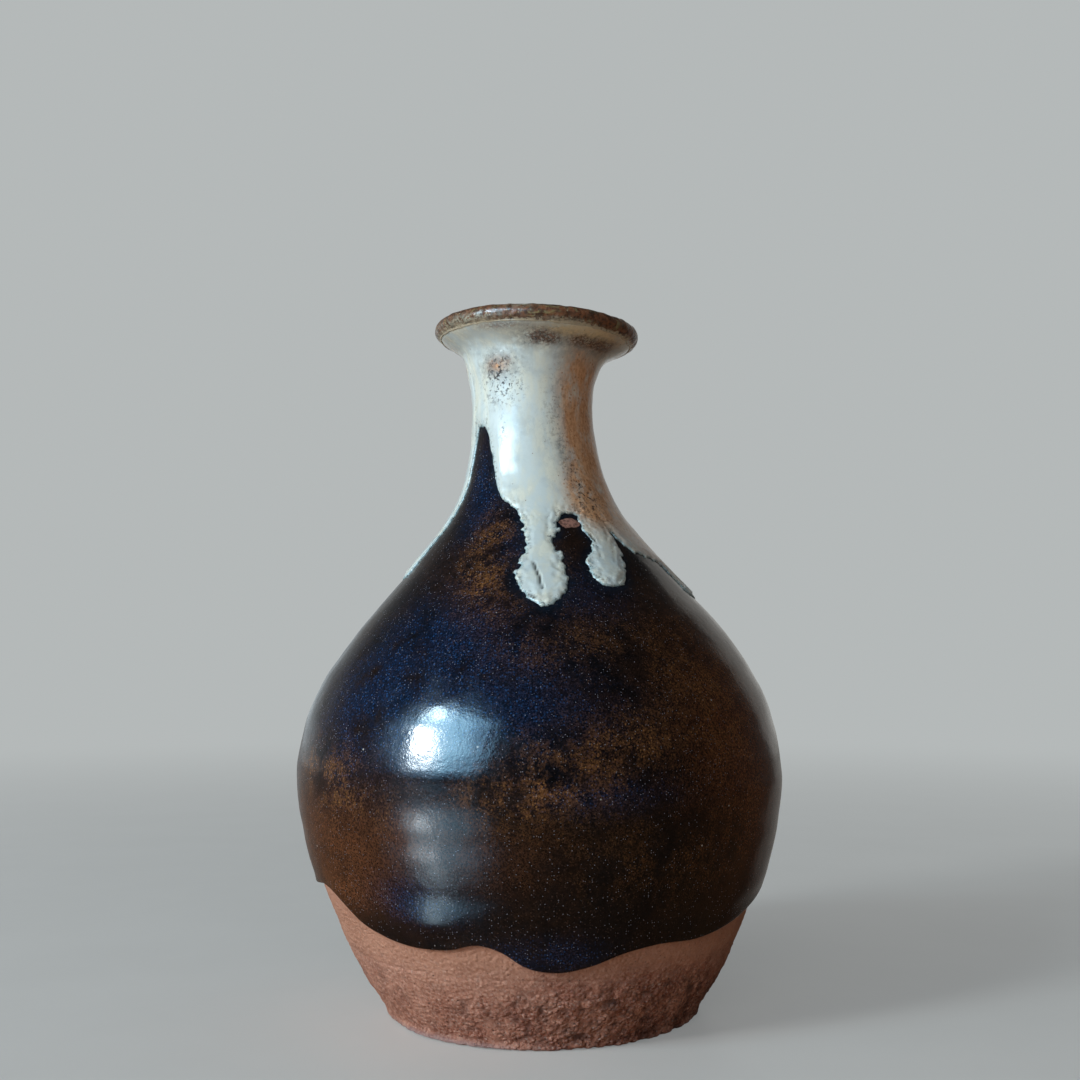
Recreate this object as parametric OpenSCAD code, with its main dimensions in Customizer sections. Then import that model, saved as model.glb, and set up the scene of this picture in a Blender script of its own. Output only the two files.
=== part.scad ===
// Stoneware sake bottle (tokkuri): one thrown clay body, fused with four glazes.
// Z is the throwing axis and points up. The origin is the centre of the foot on the shelf.

/* [Outside] */
// Height from the shelf to the top of the lip
height = 140; // [136:1:144]
// Radius of the flat foot that rests on the shelf
foot_r = 30; // [28:0.5:31]
// Radius of the clay at the widest part of the belly
belly_r = 48; // [46:0.5:50]
// Height of the widest part of the belly
belly_z = 49; // [46:1:52]
// Radius of the clay at the narrowest part of the neck
neck_r = 11.6; // [11.2:0.1:12.4]
// Height of the narrowest part of the neck
neck_z = 118; // [116:1:120]
// Radius of the finished lip
lip_r = 21.5; // [20.5:0.5:22.5]
// Radius of the roll that ends the lip, in clay
lip_roll_r = 1.2; // [1:0.1:1.4]

/* [Inside] */
// Thickness of the clay floor above the shelf
floor_t = 8; // [7:0.5:10]
// Thickness of the clay wall at the belly
belly_wall = 4.4; // [3.5:0.1:5]
// Thickness of the clay wall low down, beside the floor
low_wall = 6; // [5:0.5:7]
// Radius of the glazed throat, a true cylinder
throat_r = 8.2; // [7.8:0.1:8.4]
// Height where the throat's cylinder starts
throat_z = 112; // [111:0.5:113]
// Length of the throat's cylinder
throat_len = 14; // [12:0.5:14]
// Depth of the hollow scraped under the foot
foot_hollow = 0.8; // [0.5:0.1:1.5]

/* [Glazes] */
// Thickness of the dark glaze at its lower edge, where it has run thick
dark_low_t = 1.3; // [1:0.1:1.6]
// Thickness of the dark glaze on the neck
dark_high_t = 0.5; // [0.4:0.1:0.8]
// Height of the dark glaze's lower edge between its drips
dark_edge_z = 24; // [22:0.5:26]
// Thickness of the white glaze over the dark one
white_t = 0.6; // [0.4:0.1:0.8]
// Height of the white glaze's lower edge between its runs
white_edge_z = 94; // [90:1:98]
// Thickness of the iron glaze on the lip
lip_glaze_t = 0.5; // [0.4:0.1:0.7]
// Thickness of the glaze that lines the inside
liner_t = 0.4; // [0.3:0.1:0.5]

/* [Hidden] */
$fn = 96;
// Steps between two stations of a smooth outline
steps = 6;
// Steps round the roll of the lip
roll_steps = 10;
// Rounding of the foot's outer corner
foot_round = 1.5;
// Centre of the lip's roll
lip_c = [lip_r - lip_roll_r - lip_glaze_t, height - lip_roll_r - lip_glaze_t];
// Angles round the lip's roll: where the outer face meets it, and where the inner face does
roll_out = -75;
roll_in = 160;
// Radius of the throat in bare clay
throat_clay_r = throat_r + liner_t;
// The white runs: direction, half width and the height of the round end's centre
white_runs = [[-91, 5, 83], [-57, 5, 87], [-14, 7, 91], [35, 6, 86], [82, 5, 82], [128, 7, 87], [172, 6, 90]];
// The bare tongue that climbs the neck through the white glaze: direction, half width and height of its tip
tongue = [-150, 9, 120];
// The dark drips: direction, half width and the height of the round end's centre
dark_drips = [[-87, 12, 28.5], [-125, 9, 28.5], [-48, 9, 28.5], [20, 10, 30], [95, 12, 29], [170, 9, 30]];
// Strips start inside the wall, apart from each other, reach past the belly and lap over the level edge
white_start = 20;
dark_start = 34;
strip_len = belly_r;
strip_lap = 1;

// One point of the smooth curve from b to c, with a and d as the points beside them
function between(a, b, c, d, t) =
    0.5 * (2 * b + (c - a) * t + (2 * a - 5 * b + 4 * c - d) * t * t + (3 * b - a - 3 * c + d) * t * t * t);

// A smooth curve through all points, its ends aimed by the points that it mirrors there
function smooth(p) =
    let (last = len(p) - 1, q = concat([2 * p[0] - p[1]], p, [2 * p[last] - p[last - 1]]))
    concat([for (i = [1 : last], k = [0 : steps - 1]) between(q[i - 1], q[i], q[i + 1], q[i + 2], k / steps)],
           [p[last]]);

function reversed(p) = [for (i = [len(p) - 1 : -1 : 0]) p[i]];
function arc(c, r, from, to, n) =
    [for (i = [0 : n]) c + r * [cos(from + (to - from) * i / n), sin(from + (to - from) * i / n)]];

// Thickness of the dark glaze at a height: it thins steadily towards the neck
function dark_t(z) =
    dark_low_t + (dark_high_t - dark_low_t) * max(0, min(1, (z - dark_edge_z) / (neck_z - dark_edge_z)));

// Outer face of the clay, from the foot's corner to the roll of the lip
clay_stations = [
    [foot_r + foot_round, foot_round],
    [foot_r + 7.4, 11],
    [belly_r - 4.6, 25],
    [belly_r - 1.1, 37],
    [belly_r, belly_z],
    [belly_r - 2.8, 62],
    [belly_r - 10.7, 75],
    [neck_r + 14.4, 88],
    [neck_r + 4, 102],
    [neck_r, neck_z],
    [neck_r + 1.8, 132],
    lip_c + lip_roll_r * [cos(roll_out), sin(roll_out)]
];
// The same face carried out by the dark glaze and a share of the white glaze
function coat_stations(dark, white) =
    [for (p = clay_stations) p + [dark * dark_t(p[1]) + white * white_t, 0]];
function coat_face(dark, white) = smooth(coat_stations(dark, white));
// Ring between two coat faces, from the foot's corner up. The coat's own lower edge is cut from it
module coat_ring(inner, outer) {
    rotate_extrude() polygon(concat(coat_face(inner[0], inner[1]), reversed(coat_face(outer[0], outer[1]))));
}

// The hollow inside, drawn in by the liner's thickness where there is one
function hollow_face(inset) = concat(
    [[0, floor_t + inset], [18, floor_t + inset]],
    smooth([
        [foot_r - 4 - inset, floor_t + 2.5 + inset],
        [foot_r + 3.6 - inset, 17],
        [belly_r - low_wall - 2.2 - inset, 28],
        [belly_r - belly_wall - 0.6 - inset, 40],
        [belly_r - belly_wall - inset, 51],
        [belly_r - belly_wall - 3.8 - inset, 63],
        [belly_r - belly_wall - 11.8 - inset, 75],
        [throat_clay_r + 12.6 - inset, 87],
        [throat_clay_r + 3 - inset, 100],
        [throat_clay_r - inset, throat_z]
    ]),
    smooth([
        [throat_clay_r - inset, throat_z + throat_len],
        [throat_clay_r + 2 - inset, 131.5],
        [throat_clay_r + 6 - inset, 136],
        lip_c + (lip_roll_r + inset) * [cos(roll_in), sin(roll_in)]
    ])
);

// A flat-sided strip that hangs from a level edge, in one direction, down to a round end
module strip(direction, half_w, end_z, edge_z, start) {
    rotate([0, 0, direction]) translate([start, 0, end_z]) {
        translate([0, -half_w, 0]) cube([strip_len, 2 * half_w, edge_z + strip_lap - end_z]);
        rotate([0, 90, 0]) cylinder(r = half_w, h = strip_len);
    }
}
// Everything above a level edge, with strips that hang below it
module above(edge_z, strips, start) {
    translate([0, 0, edge_z]) cylinder(r = 2 * belly_r, h = height - edge_z);
    for (s = strips) strip(s[0], s[1], s[2], edge_z, start);
}

// A pointed wedge in one direction, from just under the white glaze's edge up to its tip
module wedge(direction, half_w, tip_z) {
    base_z = white_edge_z - strip_lap;
    rotate([0, 0, direction]) rotate([90, 0, 90]) linear_extrude(strip_len)
        polygon([[-half_w, base_z], [half_w, base_z], [0, tip_z]]);
}

// The clay's outer face without its two end points, which the foot's corner and the lip's roll have
function clay_face() = let (p = smooth(clay_stations)) [for (i = [1 : len(p) - 2]) p[i]];

module clay_body() {
    foot_corner = arc([foot_r, foot_round], foot_round, -90, 0, 5);
    roll = arc(lip_c, lip_roll_r, roll_out, roll_in, roll_steps);
    color("sienna") rotate_extrude() polygon(concat(
        [[0, foot_hollow], [foot_r - 8, foot_hollow], [foot_r - 8.8, 0]],
        foot_corner,
        clay_face(),
        roll,
        reversed(hollow_face(0))
    ));
}

module dark_glaze_coat() {
    color("#1c1411") intersection() {
        coat_ring([0, 0], [1, 0]);
        above(dark_edge_z, dark_drips, dark_start);
    }
}

module white_glaze_coat() {
    color("#dcd6c4") difference() {
        intersection() {
            coat_ring([1, 0], [1, 1]);
            above(white_edge_z, white_runs, white_start);
        }
        wedge(tongue[0], tongue[1], tongue[2]);
    }
}

module lip_glaze() {
    outside = arc(lip_c, lip_roll_r + lip_glaze_t, roll_out, roll_in, roll_steps);
    inside = arc(lip_c, lip_roll_r, roll_out, roll_in, roll_steps);
    color("#6e4a32") rotate_extrude() polygon(concat(outside, reversed(inside)));
}

module liner_glaze() {
    color("#4a372c") rotate_extrude() polygon(concat(hollow_face(liner_t), reversed(hollow_face(0))));
}

clay_body();
dark_glaze_coat();
white_glaze_coat();
lip_glaze();
liner_glaze();
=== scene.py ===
"""Looks of a hand-thrown stoneware sake bottle: one clay body and the four glazes fused to it.

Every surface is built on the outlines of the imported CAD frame, in millimetres, as rings of points round
the throwing axis. handmade() then carries each point to where the potter's hands and the kiln left it,
so that the clay and its glazes stay in contact. Directions are in degrees: -90 is the front, 0 the right.
"""
import math

import bpy
import numpy as np
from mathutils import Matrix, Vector
from mathutils.bvhtree import BVHTree


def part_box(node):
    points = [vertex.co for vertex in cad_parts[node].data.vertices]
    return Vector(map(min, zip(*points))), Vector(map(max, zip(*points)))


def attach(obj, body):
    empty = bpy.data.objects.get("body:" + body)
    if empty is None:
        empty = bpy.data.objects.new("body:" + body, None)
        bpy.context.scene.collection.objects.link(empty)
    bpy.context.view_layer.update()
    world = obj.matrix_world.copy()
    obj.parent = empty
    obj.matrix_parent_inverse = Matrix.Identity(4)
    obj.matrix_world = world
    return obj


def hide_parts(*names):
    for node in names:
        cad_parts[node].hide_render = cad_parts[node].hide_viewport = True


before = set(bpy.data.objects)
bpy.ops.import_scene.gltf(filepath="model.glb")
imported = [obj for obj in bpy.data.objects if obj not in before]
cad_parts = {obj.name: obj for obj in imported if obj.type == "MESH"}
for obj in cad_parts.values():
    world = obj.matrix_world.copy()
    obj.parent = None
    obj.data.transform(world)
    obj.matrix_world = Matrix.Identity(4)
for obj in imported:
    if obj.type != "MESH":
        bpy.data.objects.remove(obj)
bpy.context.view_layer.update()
MM = 0.001

# ---------------------------------------------------------------- noise

def lattice(cells, seed):
    """A repeatable number from 0 to 1 for each point of a whole-number lattice."""
    x, y, z = (cells[:, i].astype(np.uint64) for i in range(3))
    h = x * np.uint64(0x9E3779B1) + y * np.uint64(0x85EBCA77) + z * np.uint64(0xC2B2AE3D)
    h = (h + np.uint64(seed * 0x27D4EB2F)) & np.uint64(0xFFFFFFFF)
    for shift, factor in ((15, 0x2C1B3C6D), (12, 0x297A2D39), (15, 1)):
        h = ((h ^ (h >> np.uint64(shift))) * np.uint64(factor)) & np.uint64(0xFFFFFFFF)
    return h.astype(float) / 0xFFFFFFFF


def noise(points, size, seed):
    """Smooth noise from -1 to 1 at each point, with lumps about size across."""
    q = points / size + 1000
    cells = np.floor(q)
    f = q - cells
    f = f * f * f * (f * (f * 6 - 15) + 10)
    cells = cells.astype(np.int64)
    total = np.zeros(len(q))
    for corner in np.ndindex(2, 2, 2):
        weight = np.prod(np.where(np.array(corner), f, 1 - f), axis=1)
        total += weight * lattice(cells + np.array(corner), seed)
    return 2 * total - 1


def fractal(points, size, seed, octaves=3):
    """Several layers of noise, each half the size and half the strength of the last."""
    total, strength = np.zeros(len(points)), 1.0
    for i in range(octaves):
        total += strength * noise(points, size / 2 ** i, seed + 17 * i)
        strength *= 0.5
    return total / (2 - 2 * strength)


def smoothstep(low, high, x):
    t = np.clip((x - low) / (high - low), 0, 1)
    return t * t * (3 - 2 * t)


def around(pairs, directions):
    """A smooth closed curve through (direction, value) pairs, at each direction."""
    a, v = np.array(sorted(pairs), float).T
    a = np.concatenate([a[-2:] - 360, a, a[:2] + 360])
    v = np.concatenate([v[-2:], v, v[:2]])
    slope = np.gradient(v, a)
    x = (directions - a[2]) % 360 + a[2]
    i = np.clip(np.searchsorted(a, x, "right") - 1, 0, len(a) - 2)
    span = a[i + 1] - a[i]
    t = (x - a[i]) / span
    return ((2 * t ** 3 - 3 * t ** 2 + 1) * v[i] + (t ** 3 - 2 * t ** 2 + t) * span * slope[i]
            + (3 * t ** 2 - 2 * t ** 3) * v[i + 1] + (t ** 3 - t ** 2) * span * slope[i + 1])


# ---------------------------------------------------------------- outlines, from the frame

def cast_outline(node, heights, looking_out):
    """(radius, height) of a CAD node's inner face, looking out from the axis, or of its outer face."""
    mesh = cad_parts[node].data
    tree = BVHTree.FromPolygons([v.co for v in mesh.vertices], [p.vertices for p in mesh.polygons])
    start, way = (0.0, 1.0) if looking_out else (0.2, -1.0)
    hits = [tree.ray_cast(Vector((start, 1e-6, z * MM)), Vector((way, 0, 0)))[0] for z in heights]
    return np.array([(hit.x / MM, z) for hit, z in zip(hits, heights) if hit])


class Outline:
    """A line of (radius, height) points, read by the length along it."""

    def __init__(self, points):
        self.points = np.array(points, float)
        steps = np.hypot(*np.diff(self.points, axis=0).T)
        self.lengths = np.concatenate([[0], np.cumsum(steps)])
        tangent = np.gradient(self.points, self.lengths, axis=0)
        tangent /= np.hypot(*tangent.T)[:, None]
        self.normals = np.stack([tangent[:, 1], -tangent[:, 0]], -1)
        self.length = self.lengths[-1]

    def at(self, s):
        """Points and outward normals at the lengths s, of any shape."""
        p = np.stack([np.interp(s, self.lengths, self.points[:, i]) for i in (0, 1)], -1)
        n = np.stack([np.interp(s, self.lengths, self.normals[:, i]) for i in (0, 1)], -1)
        return p, n

    def length_at(self, height):
        """The length at a height, on an outline that rises all the way."""
        return np.interp(height, self.points[:, 1], self.lengths)


def arc(centre, radius, start, end, n):
    a = np.radians(np.linspace(start, end, n))
    return np.array(centre) + radius * np.stack([np.cos(a), np.sin(a)], -1)


LIP_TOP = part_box("lip_glaze")[1]
LIP_GLAZE_T = 0.5
LIP_ROLL_R = 1.2
LIP_CENTRE = np.array([LIP_TOP.x, LIP_TOP.z]) / MM - LIP_ROLL_R - LIP_GLAZE_T
# Where the clay's roll at the lip begins and ends, in degrees up from straight out
ROLL_OUT, ROLL_IN = -75, 160
ROLL_START_Z = LIP_CENTRE[1] + LIP_ROLL_R * math.sin(math.radians(ROLL_OUT))
ROLL_END_Z = LIP_CENTRE[1] + LIP_ROLL_R * math.sin(math.radians(ROLL_IN))
FOOT_R = 30.0
FOOT_ROUND = 1.5
FOOT_HOLLOW = 0.8
FLOOR_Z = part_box("liner_glaze")[0].z / MM

outside = Outline(cast_outline("clay_body", np.arange(FOOT_ROUND, ROLL_START_Z, 0.3), False))
inside = Outline(cast_outline("clay_body", np.arange(ROLL_END_Z - 0.05, FLOOR_Z + 0.1, -0.3), True))
TOP_S = outside.length


def points_of(directions, rz):
    """Where a point of the true round form is, before handmade() moves it."""
    a = np.radians(directions)
    return np.stack([rz[..., 0] * np.cos(a), rz[..., 0] * np.sin(a), rz[..., 1]], -1)


# ---------------------------------------------------------------- the hand-thrown form

# How far the throwing axis strays sideways with height
SWAY = [(0, 0.85), (25, 0.2), (50, 0.05), (75, 0.7), (100, -0.4), (120, -1.3), (129, -1.4), (134, -0.9),
        (140, -0.1)]
# The belly's faint corner, where the pot was shouldered over
CORNER_Z = 47.0
# How much higher the left of the lip stands than the right, over the lip's width
LIP_TILT = 0.040


def handmade(p):
    """Carries points of the true round form, in mm, to the hand-thrown form."""
    shape = p.shape
    p = p.reshape(-1, 3).copy()
    x, y, z = p.T
    r = np.hypot(x, y)
    a = np.arctan2(y, x)
    unit = np.stack([np.cos(a), np.sin(a)], -1)
    form = np.stack([unit[:, 0] * 40, unit[:, 1] * 40, z], -1)
    wide = np.clip(r / 45, 0, 1)
    move = 0.35 * wide * noise(form, 34, 3)
    # throwing rings climb as one slow spiral, stronger in some places than others
    spiral = np.sin(2 * np.pi * z / 8.6 - a) + 0.35 * np.sin(2 * np.pi * z / 4.6 - a + 1.0)
    on_wall = smoothstep(2, 8, z) * (1 - smoothstep(128, 135, z))
    move += 0.075 * spiral * on_wall * (0.6 + 0.6 * noise(form, 22, 9)) * (0.5 + 0.5 * wide)
    move += 0.26 * np.exp(-np.hypot(z - CORNER_Z, 1.3) / 5) * (r > 30)
    move += 0.22 * np.exp(-((z - 117) / 10) ** 2)
    move *= smoothstep(0, 3, r)
    p[:, :2] += unit * move[:, None]
    sz, sx = np.array(SWAY).T
    p[:, 0] += np.interp(z, sz, sx)
    p[:, 2] -= LIP_TILT * x * smoothstep(112, 138, z)
    return p.reshape(shape)


# ---------------------------------------------------------------- meshes

def set_values(mesh, values):
    """Keeps a number for each point under each name, for the material to read."""
    for name, value in values.items():
        layer = mesh.attributes.new(name, "FLOAT", "POINT")
        layer.data.foreach_set("value", value.astype(np.float32).ravel())


def piece(name, points, faces, values, material, nodes):
    """Makes one named piece from points in mm, under the root body, and hides the CAD parts it replaces."""
    mesh = bpy.data.meshes.new(name)
    mesh.from_pydata((points * MM).tolist(), [], faces)
    set_values(mesh, values)
    mesh.shade_smooth()
    mesh.materials.append(material)
    obj = bpy.data.objects.new(name, mesh)
    bpy.context.scene.collection.objects.link(obj)
    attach(obj, "root")
    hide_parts(*nodes)
    return obj


def band_faces(rows, columns, wrap=False):
    """Quads between rings of points, each ring joined to the next and, with wrap, the last to the first."""
    row, column = np.meshgrid(np.arange(rows if wrap else rows - 1), np.arange(columns), indexing="ij")
    beyond, beside = (row + 1) % rows * columns, (column + 1) % columns
    row = row * columns
    return np.stack([row + column, row + beside, beyond + beside, beyond + column], -1).reshape(-1, 4)


def directions_for(columns):
    return np.linspace(-180, 180, columns, endpoint=False)


def revolve(name, rings, values, material, nodes, wrap):
    """A closed piece from rings of points, with wrap joined last to first, and else closed on the axis."""
    rows, columns = rings.shape[:2]
    points = rings.reshape(-1, 3)
    faces = band_faces(rows, columns, wrap=wrap).tolist()
    if not wrap:
        ends = np.stack([rings[0].mean(0), rings[-1].mean(0)])
        low, high = len(points), len(points) + 1
        last = (rows - 1) * columns
        faces += [(low, (j + 1) % columns, j) for j in range(columns)]
        faces += [(high, last + j, last + (j + 1) % columns) for j in range(columns)]
        points = np.concatenate([points, ends])
        values = {k: np.concatenate([v.ravel(), [v[0].mean(), v[-1].mean()]]) for k, v in values.items()}
    return piece(name, points, faces, values, material, nodes)


# Points round each of the outer glazes
COLUMNS = 480
# The heights over which the glazes thin, up the flare to the lip
FLARE_Z = (130, 137.2)

# ---------------------------------------------------------------- the dark glaze

# Height of its lower edge in each direction, between and along its drips
DARK_EDGE = [(-172, 25.6), (-160, 27.1), (-153, 27.6), (-147, 26.6), (-143, 24.9), (-138, 22.4),
             (-131, 20.6), (-112, 19.7), (-104, 20.9), (-99, 19.8), (-94, 17.4), (-86, 16.2),
             (-78, 17.2), (-70, 19.2), (-62, 20.2), (-48, 20.2), (-38, 21.2), (-28, 22.9), (-15, 25.1),
             (4, 26.1), (22, 21.6), (32, 20.1), (44, 22.6), (62, 24.6), (80, 21.1), (92, 18.1),
             (102, 18.8), (116, 23.1), (135, 25.1), (150, 22.1), (165, 23.1)]
# The bead that it ends in: how round it is, and how far its middle stands off the clay
BEAD_R = 0.85
BEAD_SEAT = 0.45
# How far its hidden face lies in the clay
SUNK = 0.25
# How far, in mm, the white glaze colours the dark one beside it
FRINGE = 0.9
# Soft swellings where it has gathered, and hollows, as patches() reads them, in mm of thickness
SWELLS = [(-117, 23.5, 11, 3.2, .65), (-88, 19.5, 10, 3.0, .25), (-30, 27, 16, 4, .3),
          (96, 22, 12, 4, .5), (34, 24, 10, 4, .4), (160, 27, 14, 4, .4), (-107, 59.4, 4, 0.9, -.07),
          (-103, 57.6, 5, 0.9, -.09), (-99, 55.8, 4, 0.9, -.08), (-113, 61.5, 5, 1.2, .05),
          (-117, 50.5, 7, 1.3, .05)]


def thinned(z, share):
    """What is left of a glaze's thickness, which loses that share up the flare to the lip."""
    return 1 - share * smoothstep(*FLARE_Z, z)


def dark_thickness(directions, z, above_edge):
    """Thickness of the dark glaze: thick where it has run down to its edge, thin on the neck."""
    t = 1.15 + (0.5 - 1.15) * smoothstep(25, 118, z)
    rolled = (BEAD_R + BEAD_SEAT - t) * np.exp(-np.maximum(above_edge - BEAD_R, 0) / 3.0)
    form = points_of(directions, np.stack([np.full_like(z, 40.0), z], -1)).reshape(-1, 3)
    lumps = 0.06 * fractal(form, 7, 21, 2).reshape(z.shape) + patches(directions, z, SWELLS)
    return (t + rolled + lumps * smoothstep(1, 6, above_edge)) * thinned(z, 0.55)


def dark_surface(directions, s):
    """Outline points, outward normals and thickness of the dark glaze at lengths s of the outside."""
    rz, n = outside.at(s)
    edge_s = outside.length_at(around(DARK_EDGE, directions))
    t = dark_thickness(directions, rz[..., 1], s - edge_s)
    return rz, n, t


def patches(directions, z, places):
    """Sum of soft patches: (direction, height, half width in degrees, half height in mm, strength)."""
    total = np.zeros(z.shape)
    for a, h, wide, tall, strength in places:
        da = (directions - a + 180) % 360 - 180
        total += strength * np.exp(-(da / wide) ** 2 - ((z - h) / tall) ** 2)
    return total


def mottle(directions, z, places):
    """The same sum, kept between 0 and 1, to mix colours by."""
    return np.clip(patches(directions, z, places), 0, 1)


RUST = [(-107, 84, 12, 5, .9), (-114, 95, 10, 4, .8), (-88, 51, 12, 4.5, 1), (-97, 45, 12, 4, .6),
        (-84, 88, 6, 4, .4), (-45, 66, 14, 12, .6), (-38, 50, 12, 12, .4), (-60, 36, 20, 6, .3),
        (-146, 50, 12, 5, .9), (-120, 88, 8, 3, .5), (-70, 56, 12, 5, .5), (-130, 44, 12, 4, .5),
        (-80, 72, 20, 6, .3), (30, 60, 26, 12, .8), (75, 46, 20, 7, .9), (120, 74, 20, 8, .7),
        (165, 55, 18, 9, .8)]
# Blue patches: partly the glaze's own blue, partly a painted reflection of soft bluish light round the
# belly's highlight
BLUE_AND_SHEEN = [(-118, 72, 20, 11, 1), (-134, 60, 20, 12, .8), (-95, 62, 18, 8, .9), (-78, 47, 14, 3, .6),
        (-118, 28, 10, 4, .9), (-88, 19, 12, 3, .8), (-100, 92, 8, 5, .7), (-75, 82, 14, 5, .5),
        (-126, 100, 14, 7, .8), (-140, 107, 10, 8, .7), (60, 70, 26, 12, .8), (140, 62, 24, 10, .8),
        (5, 38, 24, 7, .5), (100, 24, 14, 5, .8)]
AMBER = [(-150, 36, 22, 10, .7), (-172, 40, 20, 14, .6), (-126, 38, 16, 7, .45), (-140, 28, 16, 4, .6),
         (-100, 36, 14, 6, .3), (-40, 60, 17, 17, 1), (-30, 40, 16, 16, .6), (50, 34, 24, 9, .8),
         (150, 36, 24, 10, .9)]
# The crawled spot between two white runs, where the clay shows
BARE_SPOT = [(-71.5, 96.5, 7.0, 1.25, 1.6)]


def dark_glaze_coat(material):
    a = directions_for(COLUMNS)[None, :]
    edge_s = outside.length_at(around(DARK_EDGE, a))
    roll = np.radians(np.linspace(-32, 90, 9))[:, None]
    bead_d = BEAD_R * (1 - np.cos(roll))
    bead_t = BEAD_SEAT + BEAD_R * np.sin(roll)
    share = np.linspace(0, 1, 118)[1:, None]
    share = share * (0.55 + 0.45 * share)
    d = BEAD_R + (TOP_S - edge_s - BEAD_R) * share
    rz, n, t = dark_surface(a + 0 * d, edge_s + d)
    wall = rz + n * t[..., None]
    rz0, n0 = outside.at(edge_s + bead_d)
    bead = rz0 + n0 * (bead_t + 0 * rz0[..., 0])[..., None]
    back_s = edge_s + (TOP_S - edge_s) * np.linspace(1, 0, 30)[:, None] + 0.15
    rzb, nb = outside.at(back_s)
    back = rzb - nb * SUNK
    rings = np.concatenate([bead, wall, back])
    heights = rings[..., 1]
    directions = a + np.zeros_like(heights)
    marks = {"rust": RUST, "blue_and_sheen": BLUE_AND_SHEEN, "amber": AMBER, "bare_spot": BARE_SPOT}
    values = {name: mottle(directions, heights, places) for name, places in marks.items()}
    from_white = np.minimum(white_field(directions, outside.length_at(heights)), 0)
    values["fringe"] = np.exp(from_white / FRINGE)
    shape = handmade(points_of(directions, rings))
    return revolve("dark_glaze_coat", shape, values, material, ["dark_glaze_coat"], True)


# ---------------------------------------------------------------- the white glaze

# Height of its lower edge in each direction, leaving out the runs
WHITE_EDGE = [(-178, 88), (-168, 86), (-163, 88), (-160.5, 95), (-158.6, 104), (-157, 111.5),
              (-154, 115.6), (-147, 116.9), (-138, 116.4), (-133.5, 113.8), (-127, 108.9),
              (-120.5, 104.2), (-113, 101.4), (-102, 98.3), (-96, 96.8), (-80, 98), (-66, 98.2),
              (-54, 97), (-48, 94.5), (-42, 91), (-36, 90), (-24, 89.2), (-12, 88), (4, 91), (20, 95),
              (34, 93), (48, 96), (66, 95), (82, 93), (98, 97), (112, 95), (126, 90), (140, 91),
              (152, 95), (166, 92)]
# The runs: (direction, height, half width in mm) down each one
RUNS = [
    [(-88, 99, 4.0), (-89.2, 91.6, 2.8), (-88.6, 88.6, 4.1), (-90, 85.2, 4.6), (-88.8, 83.6, 5.0),
     (-88.2, 80.7, 2.3)],
    [(-56.3, 98, 3.2), (-56.3, 92, 3.1), (-61.5, 87.3, 4.2), (-63.5, 85.5, 3.6)],
    [(-12, 92, 4.5), (-10, 84, 3.0)],
    [(33, 96, 4.5), (34, 88, 3.4), (33, 82, 3.8)],
    [(82, 96, 3.6), (81, 86, 3.0), (82, 77, 4.2)],
    [(126, 93, 6.0), (128, 86, 4.5)],
    [(170, 95, 4.0), (171, 85.5, 3.4)],
]
# Cracks drawn open in the runs as they cooled: (direction, height, half width in mm) at both ends
CRACKS = [[(-92.0, 87.3, 0.06), (-91.6, 86.6, 0.08)], [(-91.6, 86.6, 0.04), (-90.2, 84.6, 0.07)],
          [(-90.2, 84.6, 0.07), (-89.4, 82.2, 0.05)], [(-62.6, 93.6, 0.10), (-61.4, 92.2, 0.05)],
          [(-93.6, 81.2, 0.04), (-91.8, 80.5, 0.12)]]
# The heights between which its edge runs, and the spacing of the rows of points there, in mm
RUNS_LOW_Z, RUNS_HIGH_Z = 71.0, 101.0
FINE_STEP = 0.36
# How far its hidden face lies in the dark glaze
WHITE_BITE = 0.08
# How thick it stands at its rounded edge, how much more further in, and the share lost up the flare
WHITE_RIM_T, WHITE_MORE_T = 0.30, 0.22
WHITE_LOSS = 0.6


def capsule(px, py, ax, ay, ar, bx, by, br):
    """How far inside a tapered, round-ended strip each point is, in mm."""
    vx, vy = bx - ax, by - ay
    t = np.clip(((px - ax) * vx + (py - ay) * vy) / (vx * vx + vy * vy), 0, 1)
    return ar + (br - ar) * t - np.hypot(px - ax - t * vx, py - ay - t * vy)


def strip_depth(directions, s, r, start, end):
    """How far inside the tapered strip between two (direction, height, half width) points, in mm."""
    (a0, z0, w0), (a1, z1, w1) = start, end
    x = ((directions - a0 + 180) % 360 - 180) * np.radians(r)
    return capsule(x, s, 0, outside.length_at(z0), w0, (a1 - a0) * np.radians(r), outside.length_at(z1), w1)


def white_field(directions, s):
    """Above 0 where the white glaze lies: about the distance inside its edge, in mm."""
    rz, _ = outside.at(s)
    r = rz[..., 0]
    field = s - outside.length_at(around(WHITE_EDGE, directions))
    for run in RUNS:
        for start, end in zip(run, run[1:]):
            field = np.maximum(field, strip_depth(directions, s, r, start, end))
    form = points_of(directions, rz).reshape(-1, 3)
    ragged = 0.45 * fractal(form, 3.4, 41, 2) + 1.0 * fractal(form, 1.1, 47, 3)
    return field + ragged.reshape(field.shape) - 0.1


# Marks in it, each as mottle() reads them: tan streaks, where iron has bled through
TAN = [(-57, 104, 10, 3, .9), (-50, 127, 15, 9, 1), (-46, 116, 16, 10, 1), (-48, 106, 15, 8, .9),
       (-56, 99, 14, 4, .8), (-34, 110, 16, 20, .7), (-22, 124, 14, 9, .9), (-24, 108, 14, 9, .8),
       (-121, 129.6, 9, 1.6, 1.1), (-15, 92, 12, 6, .5), (100, 120, 22, 14, .7), (110, 104, 20, 8, .5),
       (175, 126, 14, 10, .4)]
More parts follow.
